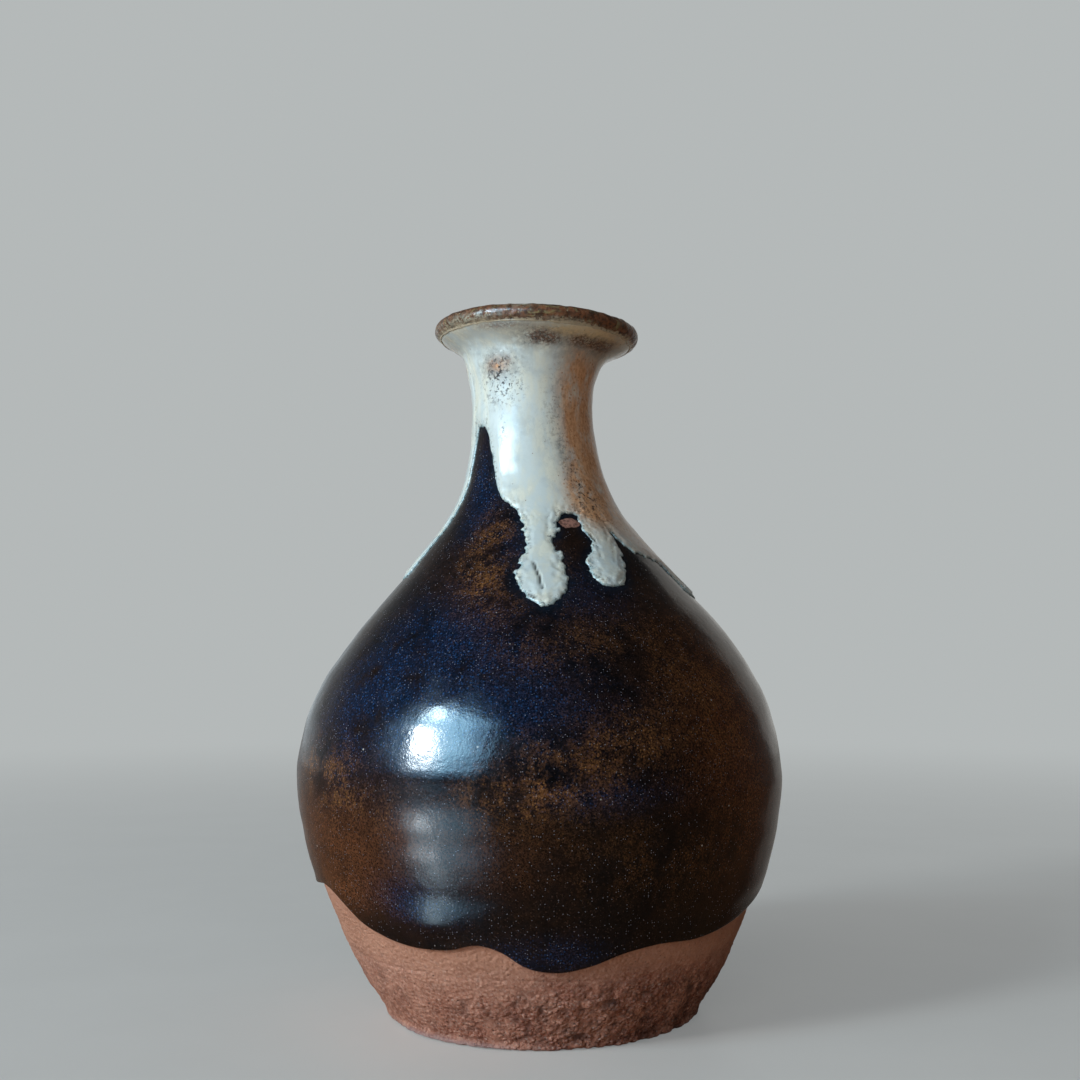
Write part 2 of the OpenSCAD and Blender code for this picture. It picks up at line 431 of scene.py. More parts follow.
# Clusters of fine dark specks
SPOTS = [(-120, 129.6, 17, 2.6, 1), (-122, 126, 15, 1.6, 1), (-120, 123.5, 18, 2.5, .75),
         (-104, 125, 6, 1.5, .8), (-118, 116, 4, 2.5, .7), (-45, 135, 20, 1.0, .8),
         (-86, 134.8, 13, 1.3, .9), (-58, 106, 8, 6, .8), (-50, 100, 12, 4, .9), (-68, 120, 12, 10, .4),
         (60, 130, 12, 4, .6), (140, 120, 12, 6, .5)]
# Brown spots, most of them under the lip
BROWN = [(-128, 129.4, 5, 1.3, .75), (-111, 130.2, 4, 1.3, .65), (-87, 134.9, 8, 1.0, 1.3),
         (-78, 134.6, 7, .8, 1.2), (-57, 134.9, 9, .7, 1.3), (-40, 135.0, 8, .8, 1.3),
         (-27, 135.0, 9, 1.0, 1.3), (-112, 136.4, 18, .5, .7), (62, 131, 9, 2, .8),
         (150, 134, 14, 1.2, .8)]
# A cream band under the lip
CREAM = [(-66, 136, 26, .8, 1.2), (-42, 136, 14, .8, 1), (120, 136, 40, .8, 1)]
# Where its surface is dry and dull
MATTE = [(-120, 121, 26, 5.0, 1), (-60, 128, 30, 8, .4)]
# Where it lies thin and grey
GREY = [(-120, 129.5, 21, 2.9, 1.2), (-88, 134.8, 17, 1.6, 1), (-45, 134.6, 22, 1.3, 1),
        (-67, 112.5, 5, 2.5, .9), (-67, 121, 5, 2, .7), (-126, 122, 8, 2, .6), (-165, 134, 40, 2.5, .4),
        (-95, 133.5, 16, 2, .3), (-62, 108, 6, 10, .5), (-47, 92, 3, 3.5, 1), (-60, 132, 20, 1.6, .5),
        (-100, 117, 14, 4, .35), (-60, 86, 12, 4, .25), (20, 134, 60, 2, .8)]


def shifted(grid, rows, columns):
    """The grid moved by whole rows, which repeat at its ends, and by whole columns, round the pot."""
    moved = np.roll(np.roll(grid, rows, 0), columns, 1)
    if rows < 0:
        moved[rows:] = moved[rows - 1]
    if rows > 0:
        moved[:rows] = moved[rows]
    return moved


SIDES = [(1, 0), (-1, 0), (0, 1), (0, -1)]


def whole_region(inside_it):
    """Fills gaps one point wide and drops stray points, so that the coat's two faces close on each other."""
    for _ in range(6):
        up, down, left, right = (shifted(inside_it, *side) for side in SIDES)
        inside_it = inside_it | (up & down) | (left & right)
    for least in (2, 1):
        beside = sum(shifted(inside_it, *side).astype(int) for side in SIDES)
        inside_it = inside_it & (beside >= least)
    return inside_it


def sheet_faces(inside_it):
    """Quads and triangles over the region, out to the points next to it, with its corners cut across."""
    quads = band_faces(*inside_it.shape)
    hits = inside_it.ravel()[quads]
    quads, hits = quads[hits.any(1)], hits[hits.any(1)]
    turn = (np.argmax(hits, 1)[:, None] + np.arange(4)) % 4
    quads, hits = np.take_along_axis(quads, turn, 1), np.take_along_axis(hits, turn, 1)
    one = hits.sum(1) == 1
    diagonal = (hits.sum(1) == 2) & hits[:, 2]
    triangles = [quads[one][:, [0, 1, 3]], quads[diagonal][:, [0, 1, 2]], quads[diagonal][:, [0, 2, 3]]]
    return quads[~one & ~diagonal], np.concatenate(triangles)


def white_glaze_coat(material):
    a = directions_for(COLUMNS)
    low, fine_top = outside.length_at(RUNS_LOW_Z), outside.length_at(RUNS_HIGH_Z)
    s = np.concatenate([np.arange(low, fine_top, FINE_STEP), np.linspace(fine_top, TOP_S, 52)])
    aa, ss = np.meshgrid(a, s)
    field = white_field(aa, ss)
    rz, n, dark_t = dark_surface(aa, ss)
    arc_mm = np.radians(rz[..., 0])
    # slopes of the field per mm, round the pot and up it, to bring its edge onto grid points
    slope_a = (np.roll(field, -1, 1) - np.roll(field, 1, 1)) / (2 * (a[1] - a[0])) / arc_mm
    slope_s = np.gradient(field, s, axis=0)
    steep = np.maximum(np.hypot(slope_a, slope_s), 0.35)
    depth = field / steep
    inside_it = whole_region(field > 0)
    near = inside_it.copy()
    for dr in (-1, 0, 1):
        for dc in (-1, 0, 1):
            near |= shifted(inside_it, dr, dc)
    rim = near & ~inside_it
    aa = aa + np.where(rim, -depth * slope_a / steep / arc_mm, 0)
    ss = ss + np.where(rim, -depth * slope_s / steep, 0)
    depth = np.where(rim, 0, depth)
    rz, n, dark_t = dark_surface(aa, ss)
    form = points_of(aa, rz).reshape(-1, 3)
    cracks = np.zeros(depth.shape)
    for start, end in CRACKS:
        open_by = strip_depth(aa, ss, rz[..., 0], start, end)
        cracks = np.maximum(cracks, smoothstep(-0.24, 0.0, open_by))
    lumps = 0.09 * fractal(form, 5, 61, 2).reshape(depth.shape)
    pooled = 0.22 * (1 - smoothstep(82, 92, rz[..., 1]))
    rounded = np.sqrt(np.clip(1 - (1 - np.clip(depth / 0.5, 0, 1)) ** 2, 0, 1))
    thick = WHITE_RIM_T * rounded + (WHITE_MORE_T + lumps + pooled) * smoothstep(0.2, 2.2, depth)
    thick *= thinned(rz[..., 1], WHITE_LOSS) * (1 - 0.75 * cracks)
    outer = rz + n * (dark_t + np.where(rim, -WHITE_BITE, thick))[..., None]
    inner = rz + n * (dark_t - WHITE_BITE)[..., None]
    count = aa.size
    # the inner face shares the rim's points, so the two faces close on each other
    twin = np.where(rim.ravel(), np.arange(count), np.arange(count) + count)
    sheets = list(sheet_faces(inside_it))
    sheets += [twin[sheet][:, ::-1] for sheet in sheets]
    last = (len(s) - 1) * COLUMNS + np.arange(COLUMNS)
    following = np.roll(last, -1)
    sheets.append(np.stack([last, following, twin[following], twin[last]], -1))
    points = np.concatenate([points_of(aa, outer).reshape(-1, 3), points_of(aa, inner).reshape(-1, 3)])
    keep = np.unique(np.concatenate([sheet.ravel() for sheet in sheets]))
    place = np.zeros(2 * count, int)
    place[keep] = np.arange(len(keep))
    faces = [face for sheet in sheets for face in place[sheet].tolist()]
    marks = {"tan": TAN, "spots": SPOTS, "brown": BROWN, "grey": GREY, "cream": CREAM, "matte": MATTE}
    values = {name: mottle(aa, rz[..., 1], places) for name, places in marks.items()}
    values.update(depth=depth, crack=cracks)
    values = {name: np.tile(value.ravel(), 2)[keep] for name, value in values.items()}
    return piece("white_glaze_coat", handmade(points[keep]), faces, values, material,
                 ["white_glaze_coat"])


# ---------------------------------------------------------------- lip, liner and clay

# Where the iron glaze lies thin on the lip and the clay's pale slip shows
LIP_PALE = [(-152, 137.4, 30, 1.3, .55), (-125, 137.4, 16, .8, .8), (-100, 140.0, 7, .9, 1),
            (-85, 140.4, 16, .6, .7), (-72, 137.0, 14, .5, 1.1), (-25, 139, 12, 1, .4),
            (60, 139, 30, 1.5, .8)]
# Where on the round form the iron glaze's ragged lower edge reads its noise: radius and height
LIP_EDGE = (20.0, 137.0)
# Points across the roll of the lip
ON_ROLL = 22
# Radius of the smallest ring of a piece that closes on the axis
AXIS_R = 0.6


def lip_section(offset, n=ON_ROLL):
    return arc(LIP_CENTRE, LIP_ROLL_R + offset, ROLL_OUT, ROLL_IN, n)


def lip_glaze(material):
    """The iron glaze: round the roll of the lip, and a little way down over the white in a ragged edge."""
    lap_rows = 7
    a = directions_for(COLUMNS)[None, :]
    edge_form = points_of(a, np.full((1, COLUMNS, 2), LIP_EDGE)).reshape(-1, 3)
    reach = 0.5 + 0.35 * fractal(edge_form, 6, 31, 2) + 0.4 * fractal(edge_form, 1.3, 33, 2)
    reach = np.maximum(reach, 0.3)[None, :]
    share = np.linspace(0, 1, lap_rows)[:, None]
    rz, n, dark_t = dark_surface(a + 0 * share, TOP_S - reach * (1 - share))
    over_white = dark_t + (1 - WHITE_LOSS) * (WHITE_RIM_T + WHITE_MORE_T)
    rise = 0.20 * np.sqrt(1 - (1 - np.minimum(share * 2.5, 1)) ** 2) - 0.06
    blend = smoothstep(0.3, 1.0, share)
    lap = rz + n * ((over_white + rise) * (1 - blend) + LIP_GLAZE_T * blend)[..., None]
    roll = np.repeat(lip_section(LIP_GLAZE_T)[1:, None, :], COLUMNS, 1)
    back = np.repeat(lip_section(-0.2, 10)[::-1][:, None, :], COLUMNS, 1)
    under = rz[:1] - n[:1] * 0.1
    rings = np.concatenate([lap, roll, back, under])
    directions = a + np.zeros(rings.shape[:2])
    row = np.arange(len(rings))[:, None]
    outer = smoothstep(2, 8, row) * (row < lap_rows + ON_ROLL - 1)
    form = points_of(directions, rings).reshape(-1, 3)
    lumps = (0.17 * fractal(form, 5, 71, 3) + 0.07 * noise(form, 1.1, 77)).reshape(directions.shape)
    away = rings - LIP_CENTRE
    away /= np.hypot(away[..., 0], away[..., 1])[..., None]
    rings = rings + away * (lumps * outer)[..., None]
    values = {"height": rings[..., 1] - LIP_CENTRE[1], "pale": mottle(directions, rings[..., 1], LIP_PALE)}
    return revolve("lip_glaze", handmade(points_of(directions, rings)), values, material,
                   ["lip_glaze"], True)


def liner_glaze(material):
    columns = 160
    thick, sunk = 0.4, 0.1
    s = np.linspace(0, inside.length, 110)
    rz, n = inside.at(s)
    face = rz + n * thick
    floor = np.stack([np.linspace(face[-1, 0], AXIS_R, 14)[1:], np.full(13, FLOOR_Z + thick)], -1)
    under = np.stack([np.linspace(AXIS_R, rz[-1, 0], 14), np.full(14, FLOOR_Z - sunk)], -1)
    section = np.concatenate([under, (rz - n * sunk)[::-1], face, floor])
    rings = np.repeat(section[:, None, :], columns, 1)
    directions = directions_for(columns)[None, :] + np.zeros(rings.shape[:2])
    return revolve("liner_glaze", handmade(points_of(directions, rings)), {}, material,
                   ["liner_glaze"], False)


# How coarse the bare clay is in each direction
COARSE = [(-150, .35), (-120, .5), (-95, .75), (-70, 1.1), (-45, 1.1), (-10, .8), (60, .6), (140, .9)]
# How far the wire that cut the pot from the wheel dragged a thin flange out, in each direction
DRAG = [(-170, .3), (-150, .6), (-139, 1.2), (-122, 1.3), (-108, 1.0), (-95, .4), (-70, .1), (-20, .3),
        (30, 0), (90, .6), (140, .1)]


def clay_body(material):
    columns = 600
    a = directions_for(columns)[None, :]
    hollow_r = np.linspace(AXIS_R, FOOT_R - 9.2, 12)
    ring_r = np.linspace(FOOT_R - 8.8, FOOT_R, 10)[:-1]
    under = np.stack([np.concatenate([hollow_r, ring_r]),
                      np.concatenate([np.full(12, FOOT_HOLLOW), np.zeros(9)])], -1)
    corner = arc([FOOT_R, FOOT_ROUND], FOOT_ROUND, -90, 0, 7)
    bare_s, glazed_s = outside.length_at(22.0), outside.length_at(30.0)
    wall = outside.at(np.concatenate([np.arange(0.32, bare_s, 0.34), np.linspace(bare_s, glazed_s, 12)]))[0]
    hidden = outside.at(np.linspace(glazed_s, TOP_S, 18)[1:])[0]
    roll = lip_section(0, 10)
    hollow = inside.at(np.linspace(0, inside.length, 18))[0]
    floor = np.stack([np.linspace(hollow[-1, 0], AXIS_R, 5)[1:], np.full(4, hollow[-1, 1])], -1)
    section = np.concatenate([under, corner, wall, hidden, roll, hollow[1:], floor])
    rings = np.repeat(section[:, None, :], columns, 1)
    directions = a + np.zeros(rings.shape[:2])
    bare = np.zeros(len(section))
    bare[:len(under) + len(corner) + len(wall)] = 1
    bare = bare[:, None] * smoothstep(2, 6, rings[..., 0])
    form = points_of(directions, rings).reshape(-1, 3)
    z = rings[..., 1]
    coarse = around(COARSE, a)
    low = coarse * (1 - smoothstep(6, 19, z + 2.5 * noise(form, 9, 5).reshape(z.shape)))
    crumbs = fractal(form, 1.15, 83, 2).reshape(z.shape)
    holes = np.minimum(fractal(form, 2.3, 91, 3).reshape(z.shape) + 0.16, 0)
    turning = 0.035 * np.sin(z * 2 * np.pi / 1.1 + 2 * noise(form, 12, 7).reshape(z.shape))
    rough = 0.05 * crumbs + turning * (1 - np.minimum(low, 1)) + low * (0.34 * crumbs + 0.85 * holes)
    groove = 0.13 * np.exp(-((z - 14.4 - 0.4 * np.sin(np.radians(a))) / 0.35) ** 2)
    _, n = outside.at(outside.length_at(z))
    is_under = np.arange(len(section))[:, None] < len(under)
    out = np.where(is_under[..., None], np.array([0, -1.0]), n)
    rough = np.where(is_under, np.minimum(rough, 0), rough - groove)
    rings = rings + out * (rough * bare)[..., None]
    flange = around(DRAG, a) * np.exp(-((z - 0.4) / 0.42) ** 2) * (rings[..., 0] > FOOT_R - 0.5)
    rings[..., 0] += 0.85 * flange
    rings[..., 1] = np.maximum(rings[..., 1], 0)
    # the pits' mark, where the material paints shade
    values = {"rough": low * bare, "height": z, "flange": np.clip(flange, 0, 1),
              "pit_shade": np.clip(-holes * 4, 0, 1) * low}
    return revolve("clay_body", handmade(points_of(directions, rings)), values, material,
                   ["clay_body"], False)


# ---------------------------------------------------------------- materials

class Material:
    """A node material, with short ways to add what these glazes need."""

    def __init__(self, name, roughness, **sockets):
        self.material = bpy.data.materials.new(name)
        self.material.use_nodes = True
        self.tree = self.material.node_tree
        self.shader = self.tree.nodes["Principled BSDF"]
        self.shader.inputs["Roughness"].default_value = roughness
        for socket, value in sockets.items():
            self.shader.inputs[socket.replace("_", " ")].default_value = value
        self.where = self.tree.nodes.new("ShaderNodeTexCoord").outputs["Object"]

    def new(self, kind, inputs=None, **settings):
        made = self.tree.nodes.new(kind)
        for key, value in settings.items():
            setattr(made, key, value)
        for key, value in (inputs or {}).items():
            if isinstance(value, bpy.types.NodeSocket):
                self.tree.links.new(value, made.inputs[key])
            else:
                made.inputs[key].default_value = value
        return made

    def math(self, operation, a, b=0.0, clamp=False):
        return self.new("ShaderNodeMath", {0: a, 1: b}, operation=operation, use_clamp=clamp).outputs[0]

    def times(self, a, b, clamp=False):
        return self.math("MULTIPLY", a, b, clamp)

    def plus(self, a, b, clamp=False):
        return self.math("ADD", a, b, clamp)

    def value(self, name):
        return self.new("ShaderNodeAttribute", attribute_name=name).outputs["Fac"]

    def stretched(self, along=1.0):
        """The place on the object, in mm, squeezed along the axis so that patterns run down it."""
        inputs = {"Vector": self.where, "Scale": (1 / MM, 1 / MM, along / MM)}
        return self.new("ShaderNodeMapping", inputs).outputs[0]

    def noise(self, size, detail=4.0, roughness=0.55, along=1.0, distortion=0.0):
        inputs = {"Vector": self.stretched(along), "Scale": 1 / size, "Detail": detail,
                  "Roughness": roughness, "Distortion": distortion}
        return self.new("ShaderNodeTexNoise", inputs).outputs["Fac"]

    def cells(self, size):
        return self.new("ShaderNodeTexVoronoi", {"Vector": self.stretched(), "Scale": 1 / size})

    def between(self, x, low, high, to_low=0.0, to_high=1.0):
        return self.new("ShaderNodeMapRange", {"Value": x, "From Min": low, "From Max": high,
                                               "To Min": to_low, "To Max": to_high},
                        interpolation_type="SMOOTHSTEP").outputs["Result"]

    def mix(self, share, a, b):
        made = self.new("ShaderNodeMix", data_type="RGBA")
        for socket, value in ((made.inputs[0], share), (made.inputs[6], a), (made.inputs[7], b)):
            if isinstance(value, bpy.types.NodeSocket):
                self.tree.links.new(value, socket)
            else:
                socket.default_value = (*value, 1)
        return made.outputs[2]

    def tones(self, x, low, high, a, b):
        """One colour where x is low, the other where it is high."""
        return self.mix(self.between(x, low, high), a, b)

    def scaled(self, colour, factor):
        return self.new("ShaderNodeVectorMath", {0: colour, "Scale": factor}, operation="SCALE").outputs[0]

    def specks(self, size, radius, share):
        """1 in small round dots, in that share of the cells."""
        cells = self.cells(size)
        dot = self.between(cells.outputs["Distance"], radius, radius * 0.55)
        pick = self.new("ShaderNodeSeparateColor", {"Color": cells.outputs["Color"]}).outputs[0]
        return self.times(dot, self.math("LESS_THAN", pick, share))

    def bump(self, height, distance, normal=None):
        inputs = {"Height": height, "Distance": distance * MM, "Strength": 1.0}
        if normal is not None:
            inputs["Normal"] = normal
        return self.new("ShaderNodeBump", inputs).outputs["Normal"]

    def finish(self, colour, roughness=None, normal=None):
        for socket, value in (("Base Color", colour), ("Roughness", roughness), ("Normal", normal)):
            if value is not None:
                self.tree.links.new(value, self.shader.inputs[socket])
        return self.material


def dark_glaze_material():
    m = Material("dark_glaze", 0.16, IOR=1.52)
    cloud = m.noise(6.5, 6, 0.68)
    grain = m.between(m.noise(0.40, 3, 0.8), 0.34, 0.66)
    black, brown = (0.0026, 0.0024, 0.0030), (0.0095, 0.0050, 0.0034)
    rust, navy, amber = (0.104, 0.045, 0.0150), (0.0016, 0.0100, 0.031), (0.080, 0.0290, 0.0115)
    colour = m.mix(m.between(m.noise(12, 5, 0.65), 0.40, 0.60), black, brown)
    amber_share = m.times(m.value("amber"), m.between(cloud, 0.15, 0.62, 0.35, 1.0))
    colour = m.mix(amber_share, colour, amber)
    # Navy and blue specks: partly the glaze's own blue, partly a painted bluish reflection round the
    # highlight
    blue_and_sheen_share = m.times(m.value("blue_and_sheen"), m.between(cloud, 0.28, 0.56))
    colour = m.mix(m.times(blue_and_sheen_share, 0.85), colour, navy)
    rust_share = m.times(m.plus(m.value("rust"), 0.03), m.between(cloud, 0.36, 0.60), clamp=True)
    colour = m.mix(m.times(rust_share, m.between(m.noise(1.6, 4, 0.8), 0.36, 0.58)), colour, rust)
    flecks = m.times(m.specks(0.5, 0.40, 0.45), rust_share)
    colour = m.mix(m.times(flecks, 0.8), colour, (0.24, 0.120, 0.040))
    colour = m.mix(m.times(m.specks(0.44, 0.40, 0.4), 0.45), colour, (0.036, 0.019, 0.014))
    colour = m.mix(m.times(m.specks(0.48, 0.42, 0.5), m.times(blue_and_sheen_share, 0.85)), colour,
                   (0.010, 0.042, 0.120))
    colour = m.scaled(colour, m.plus(m.times(grain, 1.5), 0.35))
    colour = m.mix(m.times(m.specks(0.38, 0.28, 0.17), 0.75), colour, (0.24, 0.25, 0.30))
    colour = m.mix(m.times(m.specks(2.6, 0.085, 0.09), 0.8), colour, (0.42, 0.42, 0.40))
    colour = m.mix(m.times(m.value("fringe"), 0.65), colour, (0.0045, 0.0125, 0.024))
    spot = m.between(m.plus(m.value("bare_spot"), m.times(m.noise(1.2, 4), 0.6)), 0.98, 1.10)
    clay = m.tones(m.noise(0.5, 3), 0.35, 0.6, (0.10, 0.045, 0.03), (0.33, 0.17, 0.13))
    colour = m.mix(spot, colour, clay)
    normal = m.bump(m.noise(2.2, 3, 0.6), 0.050)
    normal = m.bump(m.noise(0.45, 2, 0.6), 0.022, normal)
    rough = m.between(m.noise(5, 3), 0.3, 0.7, 0.13, 0.21)
    rough = m.plus(rough, m.times(spot, 0.3))
    return m.finish(colour, rough, normal)


def white_glaze_material():
    m = Material("white_glaze", 0.2, IOR=1.5)
    milk, cream = (0.56, 0.66, 0.67), (0.65, 0.69, 0.61)
    streaks = m.noise(3.0, 5, 0.6, along=0.35)
    grain = m.noise(0.6, 4, 0.7, along=0.6)
    colour = m.mix(m.between(streaks, 0.36, 0.66), milk, cream)
    colour = m.mix(m.times(m.between(m.noise(5, 4, 0.6), 0.5, 0.7), 0.45), colour, (0.40, 0.49, 0.52))
    tan_share = m.times(m.value("tan"), m.between(m.noise(3.0, 5, 0.7, along=0.5), 0.18, 0.55))
    tan = m.tones(grain, 0.4, 0.6, (0.66, 0.39, 0.215), (0.49, 0.255, 0.122))
    colour = m.mix(tan_share, colour, tan)
    orange = m.times(m.specks(0.8, 0.34, 0.4), m.times(m.value("tan"), 1.6), clamp=True)
    orange = m.times(orange, 0.7)
    colour = m.mix(orange, colour, (0.36, 0.15, 0.05))
    cream_share = m.times(m.value("cream"), m.between(m.noise(1.4, 4, 0.7), 0.26, 0.5))
    colour = m.mix(cream_share, colour, (0.70, 0.58, 0.36))
    grey_share = m.times(m.value("grey"), m.between(m.noise(1.5, 4, 0.7), 0.32, 0.6))
    colour = m.mix(m.times(grey_share, 0.8), colour, (0.24, 0.27, 0.27))
    halo = m.times(m.between(m.value("depth"), 0.75, 0.0), m.between(m.noise(1.0, 3), 0.25, 0.55))
    colour = m.mix(m.times(halo, 0.75), colour, (0.20, 0.34, 0.38))
    brown_share = m.times(m.value("brown"), m.between(m.noise(0.55, 4, 0.85), 0.38, 0.53))
    brown = m.tones(grain, 0.42, 0.6, (0.085, 0.045, 0.026), (0.24, 0.13, 0.08))
    colour = m.mix(brown_share, colour, brown)
    spots = m.times(m.value("spots"), m.between(m.noise(0.80, 4, 0.75), 0.53, 0.59))
    colour = m.mix(spots, colour, (0.022, 0.018, 0.018))
    grains = m.specks(1.3, 0.13, 0.16)
    colour = m.mix(m.times(grains, 0.75), colour, (0.13, 0.075, 0.04))
    torn = m.times(m.between(m.value("depth"), 1.5, 0.1), m.between(m.noise(0.55, 3, 0.8), 0.54, 0.60))
    colour = m.mix(m.times(torn, 0.8), colour, (0.045, 0.042, 0.040))
    colour = m.mix(m.times(m.value("crack"), 0.96), colour, (0.020, 0.016, 0.014))
    normal = m.bump(m.noise(1.4, 3, 0.6, along=0.6), 0.04)
    normal = m.bump(m.times(grains, -1.0), 0.02, normal)
    normal = m.bump(m.times(spots, -1.0), 0.03, normal)
    rough = m.between(streaks, 0.3, 0.7, 0.17, 0.30)
    return m.finish(colour, m.plus(rough, m.times(m.value("matte"), 0.35)), normal)


def iron_glaze_material():
    m = Material("iron_glaze", 0.35, IOR=1.5)
    mottle_noise = m.noise(1.3, 5, 0.7)
    colour = m.mix(m.between(mottle_noise, 0.38, 0.62), (0.200, 0.088, 0.045), (0.062, 0.034, 0.021))
    olive = m.between(m.noise(2.4, 4, 0.7, distortion=0.8), 0.54, 0.66)
    colour = m.mix(m.times(olive, 0.85), colour, (0.230, 0.200, 0.100))
    pale = m.times(m.value("pale"), m.between(m.noise(1.0, 4, 0.7), 0.36, 0.56))
    slip = m.tones(m.noise(0.5, 3), 0.4, 0.6, (0.16, 0.145, 0.11), (0.34, 0.34, 0.27))
    colour = m.mix(pale, colour, slip)
    low = m.plus(m.value("height"), m.between(m.noise(1.0, 4, 0.7), 0.3, 0.7, -0.35, 0.35))
    colour = m.mix(m.between(low, -1.30, -1.60), colour, (0.44, 0.40, 0.30))
    colour = m.mix(m.times(m.specks(0.55, 0.3, 0.22), 0.9), colour, (0.012, 0.010, 0.009))
    colour = m.mix(m.times(m.specks(0.8, 0.2, 0.16), 0.8), colour, (0.50, 0.46, 0.30))
    normal = m.bump(m.noise(0.6, 4, 0.65), 0.10)
    rough = m.between(m.noise(1.1, 3), 0.3, 0.7, 0.16, 0.40)
    return m.finish(colour, rough, normal)


def inside_glaze_material():
    m = Material("inside_glaze", 0.2, IOR=1.5)
    streaks = m.noise(5, 5, 0.6, along=0.4)
    colour = m.tones(streaks, 0.35, 0.65, (0.030, 0.018, 0.012), (0.085, 0.042, 0.018))
    colour = m.mix(m.specks(1.1, 0.14, 0.2), colour, (0.20, 0.17, 0.13))
    return m.finish(colour, m.between(m.noise(3, 3), 0.3, 0.7, 0.14, 0.3), m.bump(m.noise(1.8, 3), 0.05))


def bare_clay_material():
    m = Material("bare_clay", 0.8, IOR=1.45)
    grain = m.noise(0.5, 5, 0.75)
    blotch = m.noise(6, 4, 0.6)
    colour = m.mix(m.between(blotch, 0.35, 0.65), (0.27, 0.086, 0.044), (0.42, 0.180, 0.112))
    colour = m.mix(m.times(m.between(grain, 0.46, 0.66), 0.7), colour, (0.56, 0.36, 0.28))
    colour = m.mix(m.times(m.between(grain, 0.46, 0.30), 0.85), colour, (0.050, 0.018, 0.011))
    coarse = m.value("rough")
    colour = m.mix(m.between(coarse, 0.6, 0.0, 0.0, 0.34), colour, (0.60, 0.34, 0.23))
    crumbs = m.between(m.cells(0.95).outputs["Distance"], 0.15, 0.62, 1.0, 0.0)
    # painted shade in the crevices between the crumbs
    crevice_shade = m.between(crumbs, 0.30, 0.0)
    crevice_shade = m.times(crevice_shade, m.between(m.noise(2.0, 3), 0.42, 0.60))
    colour = m.mix(m.times(m.times(crevice_shade, coarse, clamp=True), 0.55), colour, (0.040, 0.014, 0.008))
    grog = m.specks(1.2, 0.28, 0.22)
    colour = m.mix(m.times(m.times(grog, m.math("MAXIMUM", coarse, 0.35)), 0.75), colour, (0.52, 0.40, 0.36))
    colour = m.mix(m.times(m.specks(0.9, 0.22, 0.16), 0.8), colour, (0.030, 0.015, 0.012))
    # painted shade in the pits
    colour = m.mix(m.times(m.value("pit_shade"), 0.55), colour, (0.040, 0.014, 0.009))
    # a lighter warm band up to the glaze's edge: partly the clay's colour, partly painted light
    warm_band_and_painted_light = m.between(m.value("height"), 13, 19)
    colour = m.mix(m.times(warm_band_and_painted_light, 0.5), colour, (0.46, 0.22, 0.13))
    colour = m.mix(m.times(m.value("flange"), 0.6), colour, (0.30, 0.22, 0.22))
    normal = m.bump(m.noise(0.55, 5, 0.8), 0.34)
    normal = m.bump(m.times(crumbs, m.math("MAXIMUM", coarse, 0.3)), 0.42, normal)
    rough = m.between(m.noise(1.0, 3), 0.35, 0.65, 0.6, 0.9)
    return m.finish(colour, rough, normal)


# ---------------------------------------------------------------- studio

# The plain wall's colour, and where the lights are: how far off, and the place on the bottle they aim at
WALL = (0.46, 0.485, 0.485)
LIGHT_DISTANCE = 1.25
LIGHT_AIM = Vector((0, 0, 0.055))
# The round floor, and how far it lies below the foot, so that the two don't share a plane
FLOOR_R = 3.0
FLOOR_SIDES = 64
FLOOR_GAP = 0.05 * MM


def floor_material():
    """Pale to the camera, and fading into the wall further out. The glazes and the clay see it warmer, darker
    and glossier, as they would a wooden table."""
    m = Material("pale_floor", 0.5, IOR=2.0)
    path = m.new("ShaderNodeLightPath")
    grain = m.between(m.noise(40, 3), 0.3, 0.7)
    pale = m.mix(grain, (0.74, 0.71, 0.67), (0.77, 0.74, 0.70))
    colour = m.mix(path.outputs["Is Glossy Ray"], (0.62, 0.31, 0.13), (0.17, 0.095, 0.048))
    rough = m.between(path.outputs["Is Camera Ray"], 0, 1, 0.20, 0.5)
    m.finish(m.mix(path.outputs["Is Camera Ray"], colour, pale), rough)
    away = m.new("ShaderNodeVectorMath", {0: m.where}, operation="LENGTH").outputs["Value"]
    share = m.times(m.between(away, 0.0, 0.85, 0.35, 1.0), path.outputs["Is Camera Ray"])
    wall = m.new("ShaderNodeEmission", {"Color": (*WALL, 1)})
    mixed = m.new("ShaderNodeMixShader", {0: share, 1: m.shader.outputs[0], 2: wall.outputs[0]})
    m.tree.links.new(mixed.outputs[0], m.tree.nodes["Material Output"].inputs[0])
    return m.material


def make_floor():
    mesh = bpy.data.meshes.new("studio_floor")
    ring = [(x, y, 0) for x, y in arc([0, 0], FLOOR_R, 0, 360, FLOOR_SIDES + 1)[:-1]]
    mesh.from_pydata(ring, [], [list(range(FLOOR_SIDES))])
    mesh.materials.append(floor_material())
    floor = bpy.data.objects.new("studio_floor", mesh)
    floor.location.z = -FLOOR_GAP
    bpy.context.scene.collection.objects.link(floor)


def make_light(name, direction, rise, width, height, radiance, colour, diffuse=True, glossy=True):
    """An oval soft light in a direction, so many degrees up, given by how bright it looks."""
    light = bpy.data.lights.new(name, "AREA")
    light.shape, light.size, light.size_y = "ELLIPSE", width, height
    light.energy, light.color = radiance * math.pi * math.pi * width * height / 4, colour
    a, e = math.radians(direction), math.radians(rise)
    way = Vector((math.cos(a) * math.cos(e), math.sin(a) * math.cos(e), math.sin(e)))
    lamp = bpy.data.objects.new(name, light)
    lamp.location = LIGHT_AIM + LIGHT_DISTANCE * way
    lamp.rotation_euler = way.to_track_quat("Z", "Y").to_euler()
    lamp.visible_camera, lamp.visible_diffuse, lamp.visible_glossy = False, diffuse, glossy
    bpy.context.scene.collection.objects.link(lamp)


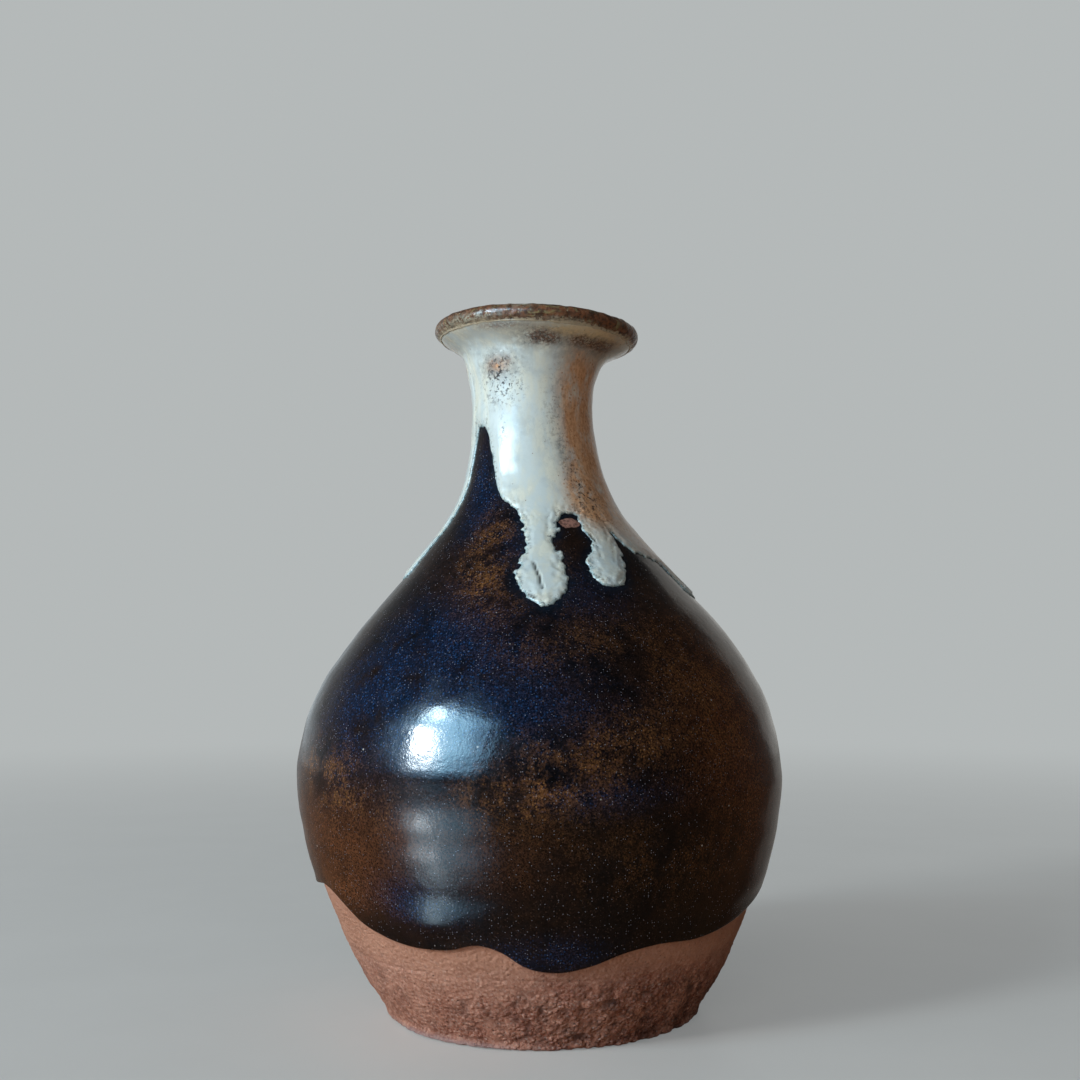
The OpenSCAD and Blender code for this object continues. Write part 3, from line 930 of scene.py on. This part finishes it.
def ramp_of(tree, value, stops):
    """A colour ramp with (position, colour) stops."""
    ramp = tree.nodes.new("ShaderNodeValToRGB")
    tree.links.new(value, ramp.inputs[0])
    while len(ramp.color_ramp.elements) < len(stops):
        ramp.color_ramp.elements.new(0.5)
    for element, (position, colour) in zip(ramp.color_ramp.elements, stops):
        element.position, element.color = position, (*colour, 1)
    return ramp.outputs[0]


def make_world():
    """A plain wall for the camera, dim even light for the pot, and for its gloss a room lighter behind it."""
    world = bpy.data.worlds.new("studio")
    world.use_nodes = True
    tree = world.node_tree
    tree.nodes.clear()
    new, link = tree.nodes.new, tree.links.new
    lean = new("ShaderNodeVectorMath")
    lean.operation = "DOT_PRODUCT"
    link(new("ShaderNodeTexCoord").outputs["Generated"], lean.inputs[0])
    lean.inputs[1].default_value = (-0.17, 0.45, -0.36)
    half = new("ShaderNodeMath")
    half.operation = "ADD"
    link(lean.outputs["Value"], half.inputs[0])
    half.inputs[1].default_value = 0.5
    room = ramp_of(tree, half.outputs[0], [(0.30, (0.020, 0.018, 0.016)), (0.58, (0.045, 0.045, 0.045)),
                                           (0.74, (0.10, 0.10, 0.10)), (0.88, (0.27, 0.28, 0.28)),
                                           (0.98, (0.62, 0.70, 0.74))])
    path = new("ShaderNodeLightPath")
    shown = None
    for colour, who in (((0.105, 0.11, 0.12), None), (room, "Is Glossy Ray"), (WALL, "Is Camera Ray")):
        surround = new("ShaderNodeBackground")
        if isinstance(colour, tuple):
            surround.inputs[0].default_value = (*colour, 1)
        else:
            link(colour, surround.inputs[0])
        if shown is None:
            shown = surround.outputs[0]
            continue
        pick = new("ShaderNodeMixShader")
        link(path.outputs[who], pick.inputs[0])
        link(shown, pick.inputs[1])
        link(surround.outputs[0], pick.inputs[2])
        shown = pick.outputs[0]
    link(shown, new("ShaderNodeOutputWorld").inputs[0])
    bpy.context.scene.world = world


# Where the camera stands, and how many degrees above level it looks
EYE = (0.0003, -0.267, 0.0708)
LOOK_UP = 5.15


def make_camera():
    camera = bpy.data.cameras.new("camera")
    camera.sensor_width = 36.0
    camera.lens = 42.5
    camera.clip_start, camera.clip_end = 0.01, 20
    eye = bpy.data.objects.new("camera", camera)
    eye.location = EYE
    eye.rotation_euler = (math.radians(90 + LOOK_UP), 0, 0)
    bpy.context.scene.collection.objects.link(eye)
    bpy.context.scene.camera = eye


clay_body(bare_clay_material())
dark_glaze_coat(dark_glaze_material())
white_glaze_coat(white_glaze_material())
lip_glaze(iron_glaze_material())
liner_glaze(inside_glaze_material())

make_floor()
make_world()
make_light("window", -144, 17.5, 0.22, 0.14, 74, (0.92, 0.97, 1.0))
make_light("upper_pane", -143, 32, 0.27, 0.15, 38, (0.70, 0.90, 1.0))
make_light("glow", -137, 23, 0.56, 0.50, 9.5, (0.42, 0.78, 1.0), diffuse=False)
make_light("outer_glow", -134, 22, 0.84, 0.66, 4.8, (0.34, 0.70, 1.0), diffuse=False)
make_light("curtain", -138, 21, 1.15, 0.85, 2.4, (0.28, 0.60, 1.0), diffuse=False)
make_light("far_wall", 64, 15, 1.05, 0.95, 0.30, (1.0, 0.97, 0.90), diffuse=False)
make_light("daylight", -156, 9, 0.75, 0.75, 5.1, (0.88, 0.96, 1.0), glossy=False)
make_light("room", -98, 18, 0.80, 0.80, 1.9, (0.95, 0.98, 1.0), glossy=False)
make_camera()
bpy.context.scene.view_settings.view_transform = "Standard"
